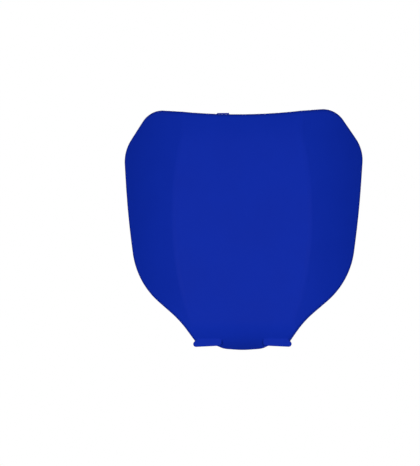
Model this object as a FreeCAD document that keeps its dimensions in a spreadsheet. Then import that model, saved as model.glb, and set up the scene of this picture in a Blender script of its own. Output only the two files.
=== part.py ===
"""Headlight mask for an off-road motorbike, moulded in one piece.

Frame: X to the viewer's right when the mask is seen from the front, Y backwards to the fork, Z up.
Origin: midway between the two strap pins, on the top face of the upper bracket lugs.
"""
import FreeCAD, Part
import math
import os
import Sketcher

# Driving dimensions, in millimetres.
DIMENSIONS = {
    # Front outline: the corners of the shield before they are rounded, from the top down.
    "peak_height": 89.0, "peak_inset": 29.9, "peak_radius": 24.4,
    "top_dip": 12.0, "top_dip_radius": 567.0,
    "shoulder_drop": 42.3, "shoulder_x": 126.8, "shoulder_radius": 38.6,
    "hip_drop": 67.4, "hip_inset": 5.1, "hip_radius": 1030.0,
    "flank_drop": 71.9, "flank_inset": 9.9, "flank_radius": 83.0,
    "waist_drop": 41.1, "waist_flare": 17.5, "waist_radius": 105.0,
    "neck_drop": 25.1, "neck_x": 46.1,
    "tongue_x": 27.3, "tongue_side_inset": 7.3, "tongue_side_drop": 3.4, "tongue_side_radius": 20.0,
    "tongue_drop": 4.9, "tongue_radius": 100.0,
    # Swept sides: one torus that falls away on both sides of the flat centre panel.
    "side_radius": 200.0, "dome_mid_drop": 69.2,
    "crease_x": 70.5, "crease_foot_inset": 7.2, "crease_radius": 14.0,
    # Flat centre panel, seen from the side: a slight bow, rolled back at the top and the chin.
    "panel_radius": 2400.0, "top_roll_rise": 76.0, "top_roll_radius": 150.0,
    "chin_roll_rise": 27.0, "chin_radius": 40.0,
    # Moulding.
    "wall": 2.2, "rim_depth": 14.0, "rim_radius": 4.5,
    # Upright hem on each side of the tongue, one wall thick, which ends in an ear.
    "hem_rise": 8.0, "hem_sink": 0.4, "hem_lap": 6.0, "hem_end_radius": 3.5,
    "ear_flare": 9.0, "ear_drop": 1.6, "ear_radius": 3.0, "ear_root_radius": 1.5,
    # Small tab on the top edge.
    "tab_x": 19.9, "tab_width": 12.5, "tab_height": 2.0, "tab_length": 6.0, "tab_setback": 15.0,
    # Strap brackets behind the side panels: two lugs each, with a pin bore through both.
    "strap_setback": 34.0, "strap_spacing": 176.0, "strap_pin_radius": 3.2,
    "lug_radius": 7.5, "lug_thickness": 4.0, "lug_gap": 20.0, "bracket_wall": 3.0,
    # Room around the moulding that the forming cuts reach into.
    "cut_margin": 15.0, "trim_margin": 3.0, "block_depth": 66.0,
}

# Half widths and heights that follow from the driving dimensions.
PEAK_X = "(dims.shoulder_x - dims.peak_inset)"
HIP_X = "(dims.shoulder_x - dims.hip_inset)"
FLANK_X = f"({HIP_X} - dims.flank_inset)"
WAIST_X = "(dims.neck_x + dims.waist_flare)"
TONGUE_SIDE_X = "(dims.tongue_x - dims.tongue_side_inset)"
DIP_Z = "(dims.peak_height - dims.top_dip)"
SHOULDER_Z = "(dims.peak_height - dims.shoulder_drop)"
HIP_Z = f"({SHOULDER_Z} - dims.hip_drop)"
FLANK_Z = f"({HIP_Z} - dims.flank_drop)"
WAIST_Z = f"({FLANK_Z} - dims.waist_drop)"
NECK_Z = f"({WAIST_Z} - dims.neck_drop)"
TONGUE_SIDE_Z = f"({NECK_Z} - dims.tongue_side_drop)"
TONGUE_Z = f"({NECK_Z} - dims.tongue_drop)"
MID_Z = f"({SHOULDER_Z} - dims.dome_mid_drop)"
DIP_SLOPE = f"(sqrt({PEAK_X} ^ 2 + dims.top_dip ^ 2) / {PEAK_X})"
TOP_EDGE_Z = f"({DIP_Z} + dims.top_dip_radius * ({DIP_SLOPE} - 1))"
HEM_TOP_Z = f"({NECK_Z} + dims.hem_rise)"

# The chin roll: where it leaves the panel's bow, and its centre.
CHIN_ROLL_Z = f"({NECK_Z} + dims.chin_roll_rise)"
CHIN_DROP = f"({MID_Z} - {CHIN_ROLL_Z})"
CHIN_REACH = "(dims.panel_radius - dims.chin_radius)"
CHIN_CENTRE_Y = (f"(dims.panel_radius - dims.strap_setback"
                 f" - {CHIN_REACH} * sqrt(1 - ({CHIN_DROP} / dims.panel_radius) ^ 2))")
CHIN_CENTRE_Z = f"({MID_Z} - {CHIN_REACH} * {CHIN_DROP} / dims.panel_radius)"

# The dome's height radius, so that each crease runs from its widest place to its foot at the neck.
CREASE_FOOT_X = "(dims.neck_x - dims.crease_foot_inset)"
CREASE_FALL = (f"(sqrt(dims.side_radius ^ 2 - {CREASE_FOOT_X} ^ 2)"
               " - sqrt(dims.side_radius ^ 2 - dims.crease_x ^ 2))")
DOME_RADIUS = f"(1 / (2 * {CREASE_FALL} / ({MID_Z} - {NECK_Z}) ^ 2 + 1 / dims.panel_radius))"

# Limits of the forming cuts and of the blanks.
CUT_HALF_WIDTH = "(dims.shoulder_x + dims.cut_margin)"
BLANK_FRONT = "(dims.strap_setback + dims.wall)"

doc = FreeCAD.newDocument("headlight_mask")
sheet = doc.addObject("Spreadsheet::Sheet", "dims")
for row, (alias, number) in enumerate(DIMENSIONS.items(), start=1):
    sheet.set(f"A{row}", alias)
    sheet.set(f"B{row}", str(number))
    sheet.setAlias(f"B{row}", alias)
doc.recompute()


def value(expression):
    """What an expression of the sheet's cells comes to, as a number."""
    result = sheet.evalExpression(expression)
    return float(getattr(result, "Value", result))


def new_body(name):
    return doc.addObject("PartDesign::Body", name)


def origin_part(body, role):
    return next(item for item in body.Origin.OriginFeatures if item.Role == role)


def new_sketch(body, name, role):
    sketch = body.newObject("Sketcher::SketchObject", name)
    sketch.AttachmentSupport = [(origin_part(body, role), "")]
    sketch.MapMode = "FlatFace"
    return sketch


def bind(sketch, name, expression, *constraint):
    """Add a dimension to a sketch and tie it to the sheet."""
    index = sketch.addConstraint(Sketcher.Constraint(*constraint, value(expression)))
    sketch.renameConstraint(index, name)
    sketch.setExpression("Constraints." + name, expression)


def relate(sketch, *constraint):
    sketch.addConstraint(Sketcher.Constraint(*constraint))


ACROSS = FreeCAD.Vector(1, 0, 0)
BACKWARDS = FreeCAD.Vector(0, 1, 0)
DOWN = FreeCAD.Vector(0, 0, -1)

# Sketch corners: guide points that the rounded outlines are drawn through.
START, END, CENTRE = range(1, 4)
HORIZONTAL_AXIS, VERTICAL_AXIS = range(-1, -3, -1)
ROOT = (HORIZONTAL_AXIS, START)


def corner(sketch, name, x, z):
    """A guide point at (x, z), both given as expressions. An x of None puts it on the centre line."""
    place = FreeCAD.Vector(0 if x is None else value(x), value(z), 0)
    point = sketch.addGeometry(Part.Point(place), True)
    if x is None:
        relate(sketch, "PointOnObject", point, START, VERTICAL_AXIS)
    else:
        bind(sketch, name + "_x", x, "DistanceX", *ROOT, point, START)
    bind(sketch, name + "_z", z, "DistanceY", *ROOT, point, START)
    return point


def mirrored_corner(sketch, point):
    place = sketch.getPoint(point, START)
    twin = sketch.addGeometry(Part.Point(FreeCAD.Vector(-place.x, place.y, 0)), True)
    relate(sketch, "Symmetric", point, START, twin, START, VERTICAL_AXIS)
    return twin


def corner_arc(before, place, after, radius):
    """The arc that rounds a corner, with its touching points and whether it starts at the first one."""
    back = (before - place).normalize()
    ahead = (after - place).normalize()
    half = back.getAngle(ahead) / 2
    first = place + back * (radius / math.tan(half))
    last = place + ahead * (radius / math.tan(half))
    centre = place + (back + ahead).normalize() * (radius / math.sin(half))
    angles = [math.atan2(point.y - centre.y, point.x - centre.x) for point in (first, last)]
    forward = (first - centre).cross(last - centre).z > 0
    low, high = angles if forward else reversed(angles)
    high = high if high > low else high + 2 * math.pi
    arc = Part.ArcOfCircle(Part.Circle(centre, FreeCAD.Vector(0, 0, 1), radius), low, high)
    return arc, first, last, forward


def rounded_loop(sketch, corners):
    """A closed outline through guide points, as (name, point, radius expression or None) in order."""
    places = [sketch.getPoint(point, START) for _, point, _ in corners]
    count = len(corners)
    joints = []
    for index, (name, point, radius) in enumerate(corners):
        place = places[index]
        if radius is None:
            joints.append((None, place, place, True))
            continue
        arc, first, last, forward = corner_arc(
            places[index - 1], place, places[(index + 1) % count], value(radius))
        geometry = sketch.addGeometry(arc, False)
        bind(sketch, name + "_radius", radius, "Radius", geometry)
        joints.append((geometry, first, last, forward))
    for index in range(count):
        following = (index + 1) % count
        line = sketch.addGeometry(Part.LineSegment(joints[index][2], joints[following][1]), False)
        for where, end in ((index, START), (following, END)):
            point = corners[where][1]
            arc, _, _, forward = joints[where]
            if arc is None:
                relate(sketch, "Coincident", line, end, point, START)
                continue
            relate(sketch, "PointOnObject", point, START, line)
            arc_end = END if (end == START) == forward else START
            relate(sketch, "Tangent", line, end, arc, arc_end)


def shield_outline(body, name):
    """The mask's outline seen from the front."""
    sketch = new_sketch(body, name, "XZ_Plane")
    sketch.setExpression("AttachmentOffset.Base.z", BLANK_FRONT)
    dip = corner(sketch, "dip", None, DIP_Z)
    right = [
        ("peak", corner(sketch, "peak", PEAK_X, "dims.peak_height"), "dims.peak_radius"),
        ("shoulder", corner(sketch, "shoulder", "dims.shoulder_x", SHOULDER_Z), "dims.shoulder_radius"),
        ("hip", corner(sketch, "hip", HIP_X, HIP_Z), "dims.hip_radius"),
        ("flank", corner(sketch, "flank", FLANK_X, FLANK_Z), "dims.flank_radius"),
        ("waist", corner(sketch, "waist", WAIST_X, WAIST_Z), "dims.waist_radius"),
        ("neck", corner(sketch, "neck", "dims.neck_x", NECK_Z), None),
        ("kink", corner(sketch, "kink", "dims.tongue_x", NECK_Z), None),
        ("tongue_side", corner(sketch, "tongue_side", TONGUE_SIDE_X, TONGUE_SIDE_Z),
         "dims.tongue_side_radius"),
    ]
    tongue = corner(sketch, "tongue", None, TONGUE_Z)
    left = [("left_" + label, mirrored_corner(sketch, point), radius)
            for label, point, radius in reversed(right)]
    rounded_loop(sketch, [("dip", dip, "dims.top_dip_radius"), *right,
                          ("tongue", tongue, "dims.tongue_radius"), *left])
    return sketch


def line_chain(sketch, places):
    """Joined lines through a list of places."""
    lines = [sketch.addGeometry(Part.LineSegment(a, b), False) for a, b in zip(places, places[1:])]
    for before, after in zip(lines, lines[1:]):
        relate(sketch, "Coincident", before, END, after, START)
    return lines


def rectangle(sketch, left, low, right, high):
    """A rectangle whose sides are placed by four expressions."""
    x0, z0, x1, z1 = (value(limit) for limit in (left, low, right, high))
    places = [FreeCAD.Vector(*place, 0) for place in ((x0, z0), (x1, z0), (x1, z1), (x0, z1), (x0, z0))]
    lines = line_chain(sketch, places)
    relate(sketch, "Coincident", lines[3], END, lines[0], START)
    for number, line in enumerate(lines):
        relate(sketch, "Vertical" if number % 2 else "Horizontal", line)
    bind(sketch, "left", left, "DistanceX", *ROOT, lines[0], START)
    bind(sketch, "low", low, "DistanceY", *ROOT, lines[0], START)
    bind(sketch, "right", right, "DistanceX", *ROOT, lines[2], START)
    bind(sketch, "high", high, "DistanceY", *ROOT, lines[2], START)


def side_section(body, name, inset):
    """The sides in plan: everything in front of this arc is cut away. Its origin is on the dome's axis."""
    sketch = new_sketch(body, name, "XY_Plane")
    sketch.setExpression("AttachmentOffset.Base.y", f"{DOME_RADIUS} - dims.strap_setback")
    sketch.setExpression("AttachmentOffset.Base.z", MID_Z)
    centre_y = f"(sqrt(dims.side_radius ^ 2 - dims.crease_x ^ 2) - {DOME_RADIUS})"
    radius = f"(dims.side_radius - {inset})"
    front = f"(-{DOME_RADIUS} - dims.block_depth)"
    centre = FreeCAD.Vector(0, value(centre_y), 0)
    edge = math.acos(value(CUT_HALF_WIDTH) / value(radius))
    arc = sketch.addGeometry(Part.ArcOfCircle(
        Part.Circle(centre, FreeCAD.Vector(0, 0, 1), value(radius)),
        math.pi + edge, 2 * math.pi - edge), False)
    first = sketch.getPoint(arc, START)
    last = sketch.getPoint(arc, END)
    right, ahead, left = line_chain(sketch, [
        last, FreeCAD.Vector(last.x, value(front), 0), FreeCAD.Vector(first.x, value(front), 0), first])
    relate(sketch, "PointOnObject", arc, CENTRE, VERTICAL_AXIS)
    bind(sketch, "centre_y", centre_y, "DistanceY", *ROOT, arc, CENTRE)
    bind(sketch, "radius", radius, "Radius", arc)
    bind(sketch, "half_width", CUT_HALF_WIDTH, "DistanceX", *ROOT, arc, END)
    relate(sketch, "Horizontal", arc, START, arc, END)
    relate(sketch, "Coincident", arc, END, right, START)
    relate(sketch, "Coincident", left, END, arc, START)
    relate(sketch, "Vertical", right)
    relate(sketch, "Horizontal", ahead)
    relate(sketch, "Vertical", left)
    bind(sketch, "front", front, "DistanceY", *ROOT, ahead, START)
    return sketch


def cut_sides(body, name, inset):
    """Take away what lies in front of the swept sides."""
    groove = body.newObject("PartDesign::Groove", name + "_dome")
    groove.Profile = side_section(body, name + "_dome_section", inset)
    groove.ReferenceAxis = (groove.Profile[0], ["H_Axis"])
    groove.Type = "TwoAngles"
    below = f"({MID_Z} - {TONGUE_Z} + dims.cut_margin)"
    above = f"(dims.peak_height - {MID_Z} + dims.cut_margin)"
    groove.setExpression("Angle", f"asin({below} / {DOME_RADIUS})")
    groove.setExpression("Angle2", f"asin({above} / {DOME_RADIUS})")
    doc.recompute()


def panel_section(body, name, inset):
    """The centre panel seen from the side: bow, top roll and chin roll, open to the front."""
    sketch = new_sketch(body, name, "YZ_Plane")
    bow_radius = f"(dims.panel_radius - {inset})"
    share = f"({bow_radius} / dims.panel_radius)"
    top_joint = f"({MID_Z} + dims.top_roll_rise * {share})"
    chin_joint = f"({MID_Z} - {CHIN_DROP} * {share})"
    bow_y = "(dims.panel_radius - dims.strap_setback)"
    front = "(-dims.strap_setback - dims.block_depth)"
    up = math.asin(value("dims.top_roll_rise") / value("dims.panel_radius"))
    down = math.asin(value(CHIN_DROP) / value("dims.panel_radius"))
    normal = FreeCAD.Vector(0, 0, 1)
    bow_centre = FreeCAD.Vector(value(bow_y), value(MID_Z), 0)

    def rolled(angle, radius):
        reach = value("dims.panel_radius") - radius
        return bow_centre + FreeCAD.Vector(-math.cos(angle), math.sin(angle), 0) * reach

    inset_now = value(inset)
    top_radius = value("dims.top_roll_radius")
    chin_radius = value("dims.chin_radius")
    bow = sketch.addGeometry(Part.ArcOfCircle(
        Part.Circle(bow_centre, normal, value(bow_radius)), math.pi - up, math.pi + down), False)
    top = sketch.addGeometry(Part.ArcOfCircle(
        Part.Circle(rolled(up, top_radius), normal, top_radius - inset_now),
        math.pi / 2, math.pi - up), False)
    chin = sketch.addGeometry(Part.ArcOfCircle(
        Part.Circle(rolled(-down, chin_radius), normal, chin_radius - inset_now),
        math.pi + down, 1.5 * math.pi), False)
    bind(sketch, "bow_y", bow_y, "DistanceX", *ROOT, bow, CENTRE)
    bind(sketch, "bow_z", MID_Z, "DistanceY", *ROOT, bow, CENTRE)
    bind(sketch, "bow_radius", bow_radius, "Radius", bow)
    bind(sketch, "top_joint", top_joint, "DistanceY", *ROOT, bow, START)
    bind(sketch, "chin_joint", chin_joint, "DistanceY", *ROOT, bow, END)
    relate(sketch, "Tangent", top, END, bow, START)
    relate(sketch, "Tangent", bow, END, chin, START)
    bind(sketch, "top_radius", f"(dims.top_roll_radius - {inset})", "Radius", top)
    bind(sketch, "chin_radius", f"(dims.chin_radius - {inset})", "Radius", chin)
    relate(sketch, "Vertical", top, START, top, CENTRE)
    relate(sketch, "Vertical", chin, END, chin, CENTRE)
    first = sketch.getPoint(top, START)
    last = sketch.getPoint(chin, END)
    below, ahead, above = line_chain(sketch, [
        last, FreeCAD.Vector(value(front), last.y, 0), FreeCAD.Vector(value(front), first.y, 0), first])
    relate(sketch, "Coincident", chin, END, below, START)
    relate(sketch, "Coincident", above, END, top, START)
    relate(sketch, "Horizontal", below)
    relate(sketch, "Vertical", ahead)
    relate(sketch, "Horizontal", above)
    bind(sketch, "front", front, "DistanceX", *ROOT, ahead, START)
    return sketch


def cut_panel(body, name, inset):
    """Take away what lies in front of the flat centre panel."""
    pocket = body.newObject("PartDesign::Pocket", name + "_panel")
    pocket.Profile = panel_section(body, name + "_panel_section", inset)
    pocket.SideType = "Symmetric"
    pocket.setExpression("Length", f"2 * {CUT_HALF_WIDTH}")
    doc.recompute()
    return pocket


def form_face(body, name, inset):
    """Give a block the mask's front, lying the inset behind the outer skin."""
    cut_sides(body, name, inset)
    return cut_panel(body, name, inset)


def pad(body, name, profile, direction, length):
    feature = body.newObject("PartDesign::Pad", name)
    feature.Profile = profile
    feature.UseCustomVector = True
    feature.Direction = direction
    feature.setExpression("Length", length)
    doc.recompute()
    return feature


def parallel(direction, axis):
    return abs(direction.dot(axis)) > 0.999


def is_seam(face):
    """The cut down the middle, where the two halves join."""
    return face.BoundBox.XMax < 0.001


def is_wall(face):
    """A face of the outline, which runs straight backwards."""
    surface = face.Surface
    if is_seam(face):
        return False
    if isinstance(surface, Part.Plane):
        return abs(surface.Axis.y) < 0.001
    return isinstance(surface, Part.Cylinder) and parallel(surface.Axis, BACKWARDS)


def is_back(face):
    return isinstance(face.Surface, Part.Plane) and parallel(face.Surface.Axis, BACKWARDS)


def is_panel(face):
    return isinstance(face.Surface, Part.Cylinder) and parallel(face.Surface.Axis, ACROSS)


def is_side(face):
    return isinstance(face.Surface, Part.Toroid)


def edges_where(shape, test):
    """Names of the edges whose two faces pass a test."""
    names = []
    for number, edge in enumerate(shape.Edges, start=1):
        faces = shape.ancestorsOfType(edge, Part.Face)
        if len(faces) == 2 and test(edge, *faces):
            names.append(f"Edge{number}")
    return names


def is_crease(edge, first, second):
    return (is_panel(first) and is_side(second)) or (is_panel(second) and is_side(first))


def is_rim(edge, first, second):
    """Where the outline meets the front, but for the foot between the two necks."""
    if is_wall(first) == is_wall(second):
        return False
    if any(is_back(face) or is_seam(face) for face in (first, second)):
        return False
    return edge.CenterOfMass.z > value(NECK_Z) + 1


def fillet(body, name, test, radius):
    base = body.Tip
    feature = body.newObject("PartDesign::Fillet", name)
    feature.Base = (base, edges_where(base.Shape, test))
    feature.setExpression("Radius", radius)
    doc.recompute()
    return feature


def keep_right_half(body, name):
    """Cut a block down the middle, so that one side is formed and then mirrored."""
    sketch = new_sketch(body, name + "_section", "YZ_Plane")
    rectangle(sketch, "-dims.block_depth", f"{TONGUE_Z} - dims.cut_margin",
              "dims.block_depth", "dims.peak_height + dims.cut_margin")
    pocket = body.newObject("PartDesign::Pocket", name)
    pocket.Profile = sketch
    pocket.Type = "ThroughAll"
    doc.recompute()


def mirror_half(body, name):
    mirrored = body.newObject("PartDesign::Mirrored", name)
    mirrored.MirrorPlane = (origin_part(body, "YZ_Plane"), [""])
    mirrored.TransformMode = "Whole shape"
    body.Tip = mirrored
    doc.recompute()


def outline_profile(body, name, inset):
    """The master outline, moved inwards by the inset."""
    binder = body.newObject("PartDesign::SubShapeBinder", name)
    binder.Support = [(outline, "")]
    binder.MakeFace = True
    binder.OffsetJoinType = "Tangent"
    binder.setExpression("Offset", f"-({inset})")
    doc.recompute()
    return binder


def plain_profile(body, name):
    """A rectangle round the whole outline."""
    sketch = new_sketch(body, name, "XZ_Plane")
    sketch.setExpression("AttachmentOffset.Base.z", BLANK_FRONT)
    half_width = "(dims.shoulder_x + dims.trim_margin)"
    rectangle(sketch, f"-{half_width}", TONGUE_Z, half_width, "dims.peak_height + dims.trim_margin")
    return sketch


def form_block(body, profile, inset):
    """Pad a profile and give it the mask's front, the inset behind the outer skin."""
    name = body.Name
    pad(body, name + "_blank", profile, BACKWARDS, "dims.block_depth")
    keep_right_half(body, name + "_half")
    form_face(body, name, inset)


def moulded_form(name, inset, soft_edges=False):
    """A solid with the mask's outline and front, both lying the inset inside the outer skin."""
    body = new_body(name)
    form_block(body, outline_profile(body, name + "_outline", inset), inset)
    if soft_edges:
        fillet(body, name + "_creases", is_crease, "dims.crease_radius")
        fillet(body, name + "_rim", is_rim, "dims.rim_radius")
    mirror_half(body, name + "_mirrored")
    return body


def rim_trim():
    """What lies behind the rim: the front moved back by the rim's depth."""
    body = new_body("rim_trim")
    form_block(body, plain_profile(body, "rim_trim_outline"), "0")
    mirror_half(body, "rim_trim_mirrored")
    body.setExpression("Placement.Base.y", "dims.rim_depth")
    doc.recompute()
    return body


def lug_section(body, name):
    """One lug in plan: a tongue with a round end about the pin bore."""
    sketch = new_sketch(body, name, "XY_Plane")
    pin_x = "(dims.strap_spacing / 2)"
    front = "(-dims.strap_setback)"
    x = value(pin_x)
    radius = value("dims.lug_radius")
    centre = FreeCAD.Vector(x, 0, 0)
    normal = FreeCAD.Vector(0, 0, 1)
    end = sketch.addGeometry(Part.ArcOfCircle(Part.Circle(centre, normal, radius), 0, math.pi), False)
    bore = sketch.addGeometry(Part.Circle(centre, normal, value("dims.strap_pin_radius")), False)
    inner, ahead, outer_side = line_chain(sketch, [
        FreeCAD.Vector(x - radius, 0, 0), FreeCAD.Vector(x - radius, value(front), 0),
        FreeCAD.Vector(x + radius, value(front), 0), FreeCAD.Vector(x + radius, 0, 0)])
    bind(sketch, "pin_x", pin_x, "DistanceX", *ROOT, end, CENTRE)
    relate(sketch, "PointOnObject", end, CENTRE, HORIZONTAL_AXIS)
    relate(sketch, "Coincident", bore, CENTRE, end, CENTRE)
    bind(sketch, "bore_radius", "dims.strap_pin_radius", "Radius", bore)
    bind(sketch, "lug_radius", "dims.lug_radius", "Radius", end)
    relate(sketch, "Tangent", inner, START, end, END)
    relate(sketch, "Tangent", outer_side, END, end, START)
    relate(sketch, "Vertical", inner)
    relate(sketch, "Horizontal", ahead)
    relate(sketch, "Vertical", outer_side)
    bind(sketch, "front", front, "DistanceY", *ROOT, ahead, START)
    return sketch


def strap_brackets():
    """Behind each side panel, two lugs with a common pin bore and a wall that ties them together."""
    body = new_body("strap_brackets")
    lug = pad(body, "upper_lug", lug_section(body, "lug_section"), DOWN, "dims.lug_thickness")
    lugs = body.newObject("PartDesign::LinearPattern", "lugs")
    lugs.Originals = [lug]
    lugs.Direction = (origin_part(body, "Z_Axis"), [""])
    lugs.Reversed = True
    lugs.setExpression("Length", "dims.lug_gap + dims.lug_thickness")
    lugs.Occurrences = 2
    body.Tip = lugs
    doc.recompute()
    wall = new_sketch(body, "bracket_wall_section", "XY_Plane")
    inner = "(dims.strap_spacing / 2 - dims.lug_radius)"
    rectangle(wall, inner, "-dims.strap_setback", f"{inner} + dims.bracket_wall", "-dims.lug_radius")
    pad(body, "bracket_wall", wall, DOWN, "dims.lug_gap + 2 * dims.lug_thickness")
    form_face(body, "bracket", "dims.wall / 2")
    mirror_half(body, "brackets_mirrored")
    return body


def combine(body, name, kind, tools):
    boolean = body.newObject("PartDesign::Boolean", name)
    boolean.Type = kind
    boolean.setObjects(tools)
    doc.recompute()
    return boolean


def hem_section(body, name):
    """The two hems beside the tongue, seen from the front, sunk a little into the chin at their top line."""
    sketch = new_sketch(body, name, "XZ_Plane")
    chin_y = f"({CHIN_CENTRE_Y} - sqrt(dims.chin_radius ^ 2 - ({HEM_TOP_Z} - {CHIN_CENTRE_Z}) ^ 2))"
    sketch.setExpression("AttachmentOffset.Base.z", f"-{chin_y} - dims.hem_sink")
    inner_x = "(dims.tongue_x - dims.hem_lap)"
    ear_x = "(dims.neck_x + dims.ear_flare)"
    ear_z = f"({NECK_Z} - dims.ear_drop)"
    right = [
        ("inner_top", corner(sketch, "inner_top", inner_x, HEM_TOP_Z), "dims.hem_end_radius"),
        ("ear_root", corner(sketch, "ear_root", "dims.neck_x", HEM_TOP_Z), "dims.ear_root_radius"),
        ("ear", corner(sketch, "ear", ear_x, ear_z), "dims.ear_radius"),
        ("inner_foot", corner(sketch, "inner_foot", inner_x, NECK_Z), "dims.hem_end_radius"),
    ]
    left = [("left_" + label, mirrored_corner(sketch, point), radius) for label, point, radius in right]
    rounded_loop(sketch, right)
    rounded_loop(sketch, left)
    return sketch


def add_hems(body):
    pad(body, "hems", hem_section(body, "hem_section"), BACKWARDS, "dims.wall")


def add_top_tab(body):
    """A small tab that stands on the top edge, left of the middle."""
    sketch = new_sketch(body, "tab_section", "XZ_Plane")
    sketch.setExpression("AttachmentOffset.Base.z",
                         "dims.strap_setback - dims.tab_setback + dims.tab_length / 2")
    rectangle(sketch, "-dims.tab_x - dims.tab_width / 2", f"{TOP_EDGE_Z} - dims.wall / 2",
              "-dims.tab_x + dims.tab_width / 2", f"{TOP_EDGE_Z} + dims.tab_height")
    pad(body, "top_tab", sketch, BACKWARDS, "dims.tab_length")


def check_document():
    """Stop if any object of the document failed or has no sound shape."""
    for item in doc.Objects:
        if {"Invalid", "Error"} & set(item.State):
            raise RuntimeError(f"{item.Name} is {item.State}")
    for body in doc.findObjects("PartDesign::Body"):
        if body.Tip and (body.Shape.isNull() or not body.Shape.isValid()):
            raise RuntimeError(f"{body.Name} has no sound shape")


layout = new_body("layout")
outline = shield_outline(layout, "outline")
doc.recompute()
mask = moulded_form("mask_shell", "0", soft_edges=True)
add_hems(mask)
core = moulded_form("core", "dims.wall")
combine(mask, "hollow", "Cut", [core, rim_trim()])
combine(mask, "bracketed", "Fuse", [strap_brackets()])
add_top_tab(mask)
doc.recompute()
check_document()

if len(mask.Shape.Solids) != 1:
    raise RuntimeError("the moulding must be one solid")
os.makedirs("parts", exist_ok=True)
mask.Shape.exportStep("parts/mask_shell.step")
print("mask_shell", mask.Shape.BoundBox, round(mask.Shape.Volume), "mm3")
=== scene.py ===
"""Looks of the moulded headlight mask: finish, light and camera.

Lengths are in metres, angles in degrees. The frame is the CAD part's: X right, Y back, Z up.
"""

import math

import bpy
from mathutils import Matrix, Vector


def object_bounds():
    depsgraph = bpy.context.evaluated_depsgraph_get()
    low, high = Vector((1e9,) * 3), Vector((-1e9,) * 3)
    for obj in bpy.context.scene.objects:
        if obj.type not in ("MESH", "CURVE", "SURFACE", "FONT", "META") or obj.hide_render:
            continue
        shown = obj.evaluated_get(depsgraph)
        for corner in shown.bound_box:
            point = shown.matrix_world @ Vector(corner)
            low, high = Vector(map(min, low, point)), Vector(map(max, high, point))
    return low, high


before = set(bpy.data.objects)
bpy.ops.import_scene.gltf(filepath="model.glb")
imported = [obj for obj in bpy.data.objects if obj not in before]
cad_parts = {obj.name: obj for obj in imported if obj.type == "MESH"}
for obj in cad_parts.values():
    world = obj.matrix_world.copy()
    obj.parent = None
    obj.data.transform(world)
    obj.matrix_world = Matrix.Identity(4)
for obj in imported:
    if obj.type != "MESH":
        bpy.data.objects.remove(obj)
cad_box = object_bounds()
scene = bpy.context.scene
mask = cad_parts["mask_shell"]

# Camera: where it aims, from where, and where the aim lands in the picture.
PICTURE_SIZE = (420, 466)
AIM = Vector((0.0, -0.034, -0.0512))
AIM_PIXEL = (241.7, 241.1)
CAMERA_DISTANCE = 1.6
CAMERA_AZIMUTH = 2.8
CAMERA_ELEVATION = -3.0
CAMERA_ROLL = -0.12
LENS = 120.0
SENSOR = 36.0

# Stage: a floor well below the mask, white to the eye, and a white background.
FLOOR_DROP = 0.8
FLOOR_SIZE = 12.0
FLOOR_COLOUR = (0.3, 0.3, 0.3, 1)
WHITE = (1, 1, 1, 1)

# Lights: each box's distance and size, and its power in watts.
BOX_DISTANCE = 2.4
KEY_SIZE = 0.5
KEY_AZIMUTH = 20.0
KEY_ELEVATION = -3.0
KEY_POWER = 28.6
BACK_AZIMUTH = 180.0
BACK_ELEVATION = 25.0
BACK_SIZE = 0.8
BACK_POWER = 32.0
AMBIENT = 0.02

# Plastic: two close blues, how colour and gloss drift over it, the mould's grain and the soft edges.
BLUE = (0.0042, 0.0232, 0.364, 1)
DEEP_BLUE = (0.0040, 0.0220, 0.350, 1)
DRIFT_SIZE = 0.045
DRIFT_DETAIL = 3
COLOUR_DRIFT = (0.3, 0.6)
GLOSS_DRIFT = (0.3, 0.7)
SATIN = (0.46, 0.54)
SHINE = 0.015
GRAIN_SIZE = 0.0016
GRAIN_DETAIL = 2
GRAIN_DEPTH = 0.00002
EDGE_SOFTNESS = 0.002
EDGE_SAMPLES = 6
SHARP_ANGLE = 30.0


def direction(azimuth, elevation):
    """Unit vector from the mask towards a place at that azimuth, from the front, and elevation."""
    a = math.radians(azimuth)
    e = math.radians(elevation)
    return Vector((math.sin(a) * math.cos(e), -math.cos(a) * math.cos(e), math.sin(e)))


def look_at(place, target, roll=0.0):
    """World matrix of something at a place that looks at a target, rolled about its line of view."""
    back = (place - target).normalized()
    right = Vector((0, 0, 1)).cross(back).normalized()
    up = back.cross(right)
    turn = Matrix((right, up, back)).transposed().to_4x4()
    return Matrix.Translation(place) @ turn @ Matrix.Rotation(math.radians(roll), 4, "Z")


def new_object(name, data):
    item = bpy.data.objects.new(name, data)
    scene.collection.objects.link(item)
    return item


def make_camera():
    """A long lens, shifted so that the aim lands on its pixel."""
    data = bpy.data.cameras.new("camera")
    data.lens = LENS
    data.sensor_width = SENSOR
    data.sensor_fit = "AUTO"
    longest = max(PICTURE_SIZE)
    data.shift_x = (PICTURE_SIZE[0] / 2 - AIM_PIXEL[0]) / longest
    data.shift_y = (AIM_PIXEL[1] - PICTURE_SIZE[1] / 2) / longest
    camera = new_object("camera", data)
    place = AIM + direction(CAMERA_AZIMUTH, CAMERA_ELEVATION) * CAMERA_DISTANCE
    camera.matrix_world = look_at(place, AIM, CAMERA_ROLL)
    scene.camera = camera


def soft_box(name, azimuth, elevation, size, power):
    """A square area light that faces the mask."""
    data = bpy.data.lights.new(name, "AREA")
    data.shape = "SQUARE"
    data.size = size
    data.energy = power
    light = new_object(name, data)
    light.matrix_world = look_at(AIM + direction(azimuth, elevation) * BOX_DISTANCE, AIM)


def make_lights():
    """Two soft boxes beside the camera, and one behind that shows the inside."""
    soft_box("left_box", -KEY_AZIMUTH, KEY_ELEVATION, KEY_SIZE, KEY_POWER)
    soft_box("right_box", KEY_AZIMUTH, KEY_ELEVATION, KEY_SIZE, KEY_POWER)
    soft_box("back_box", BACK_AZIMUTH, BACK_ELEVATION, BACK_SIZE, BACK_POWER)


def shader_tree(owner):
    owner.use_nodes = True
    tree = owner.node_tree
    tree.nodes.clear()
    return tree


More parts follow.
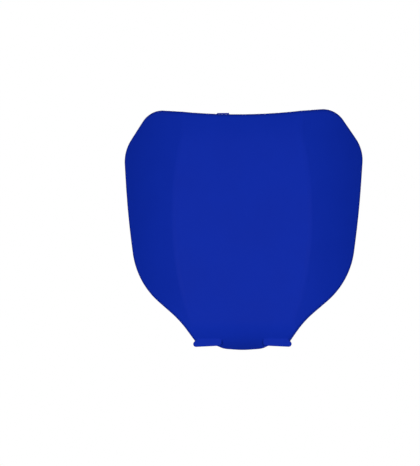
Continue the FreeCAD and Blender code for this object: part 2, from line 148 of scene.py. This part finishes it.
def background_rays(tree):
    """Output that is 1 for rays that show the background: from the camera, a mirror or glass."""
    path = tree.nodes.new("ShaderNodeLightPath")
    total = path.outputs["Is Camera Ray"]
    for kind in ("Is Glossy Ray", "Is Transmission Ray"):
        add = tree.nodes.new("ShaderNodeMath")
        add.operation = "ADD"
        add.use_clamp = True
        tree.links.new(total, add.inputs[0])
        tree.links.new(path.outputs[kind], add.inputs[1])
        total = add.outputs[0]
    return total


def make_world():
    """White as a background, a low even grey as light."""
    world = bpy.data.worlds.new("studio")
    tree = shader_tree(world)
    seen = tree.nodes.new("ShaderNodeBackground")
    ambient = tree.nodes.new("ShaderNodeBackground")
    mix = tree.nodes.new("ShaderNodeMixShader")
    output = tree.nodes.new("ShaderNodeOutputWorld")
    seen.inputs["Color"].default_value = WHITE
    seen.inputs["Strength"].default_value = 1.0
    ambient.inputs["Color"].default_value = WHITE
    ambient.inputs["Strength"].default_value = AMBIENT
    tree.links.new(background_rays(tree), mix.inputs["Fac"])
    tree.links.new(ambient.outputs[0], mix.inputs[1])
    tree.links.new(seen.outputs[0], mix.inputs[2])
    tree.links.new(mix.outputs[0], output.inputs["Surface"])
    scene.world = world


def make_floor():
    """A matt floor that shows as white, like the background."""
    data = bpy.data.meshes.new("floor")
    half = FLOOR_SIZE / 2
    height = cad_box[0][2] - FLOOR_DROP
    corners = [(-half, -half, height), (half, -half, height), (half, half, height), (-half, half, height)]
    data.from_pydata(corners, [], [(0, 1, 2, 3)])
    material = bpy.data.materials.new("floor_white")
    tree = shader_tree(material)
    diffuse = tree.nodes.new("ShaderNodeBsdfDiffuse")
    glow = tree.nodes.new("ShaderNodeEmission")
    add = tree.nodes.new("ShaderNodeAddShader")
    output = tree.nodes.new("ShaderNodeOutputMaterial")
    diffuse.inputs["Color"].default_value = FLOOR_COLOUR
    tree.links.new(background_rays(tree), glow.inputs["Strength"])
    tree.links.new(diffuse.outputs[0], add.inputs[0])
    tree.links.new(glow.outputs[0], add.inputs[1])
    tree.links.new(add.outputs[0], output.inputs["Surface"])
    data.materials.append(material)
    new_object("floor", data)


def noise(tree, place, size, detail):
    """Noise whose patches are about the given size across."""
    node = tree.nodes.new("ShaderNodeTexNoise")
    node.inputs["Scale"].default_value = 1 / size
    node.inputs["Detail"].default_value = detail
    tree.links.new(place.outputs["Object"], node.inputs["Vector"])
    return node


def blue_plastic():
    """Satin injection-moulded polypropylene, coloured through."""
    material = bpy.data.materials.new("blue_plastic")
    tree = shader_tree(material)
    place = tree.nodes.new("ShaderNodeTexCoord")
    shader = tree.nodes.new("ShaderNodeBsdfPrincipled")
    output = tree.nodes.new("ShaderNodeOutputMaterial")

    # Colour and gloss drift a little from place to place, as the melt flowed.
    drift = noise(tree, place, DRIFT_SIZE, DRIFT_DETAIL)
    colour = tree.nodes.new("ShaderNodeValToRGB")
    for stop, position, blue in zip(colour.color_ramp.elements, COLOUR_DRIFT, (DEEP_BLUE, BLUE)):
        stop.position = position
        stop.color = blue
    gloss = tree.nodes.new("ShaderNodeMapRange")
    gloss.inputs["From Min"].default_value, gloss.inputs["From Max"].default_value = GLOSS_DRIFT
    gloss.inputs["To Min"].default_value, gloss.inputs["To Max"].default_value = SATIN
    tree.links.new(drift.outputs["Fac"], colour.inputs["Fac"])
    tree.links.new(drift.outputs["Fac"], gloss.inputs["Value"])

    # The mould's fine grain, over edges that are a little soft.
    grain = noise(tree, place, GRAIN_SIZE, GRAIN_DETAIL)
    edges = tree.nodes.new("ShaderNodeBevel")
    edges.samples = EDGE_SAMPLES
    edges.inputs["Radius"].default_value = EDGE_SOFTNESS
    bump = tree.nodes.new("ShaderNodeBump")
    bump.inputs["Strength"].default_value = 1.0
    bump.inputs["Distance"].default_value = GRAIN_DEPTH
    tree.links.new(grain.outputs["Fac"], bump.inputs["Height"])
    tree.links.new(edges.outputs["Normal"], bump.inputs["Normal"])

    shader.inputs["Specular IOR Level"].default_value = SHINE
    tree.links.new(colour.outputs["Color"], shader.inputs["Base Color"])
    tree.links.new(gloss.outputs["Result"], shader.inputs["Roughness"])
    tree.links.new(bump.outputs["Normal"], shader.inputs["Normal"])
    tree.links.new(shader.outputs[0], output.inputs["Surface"])
    return material


def dress_mask():
    """Give the mask its plastic, smooth but for its real edges."""
    mask.data.materials.clear()
    mask.data.materials.append(blue_plastic())
    mask.data.shade_smooth()
    mask.data.set_sharp_from_angle(angle=math.radians(SHARP_ANGLE))


scene.view_settings.view_transform = "Standard"
make_world()
make_floor()
make_lights()
make_camera()
dress_mask()
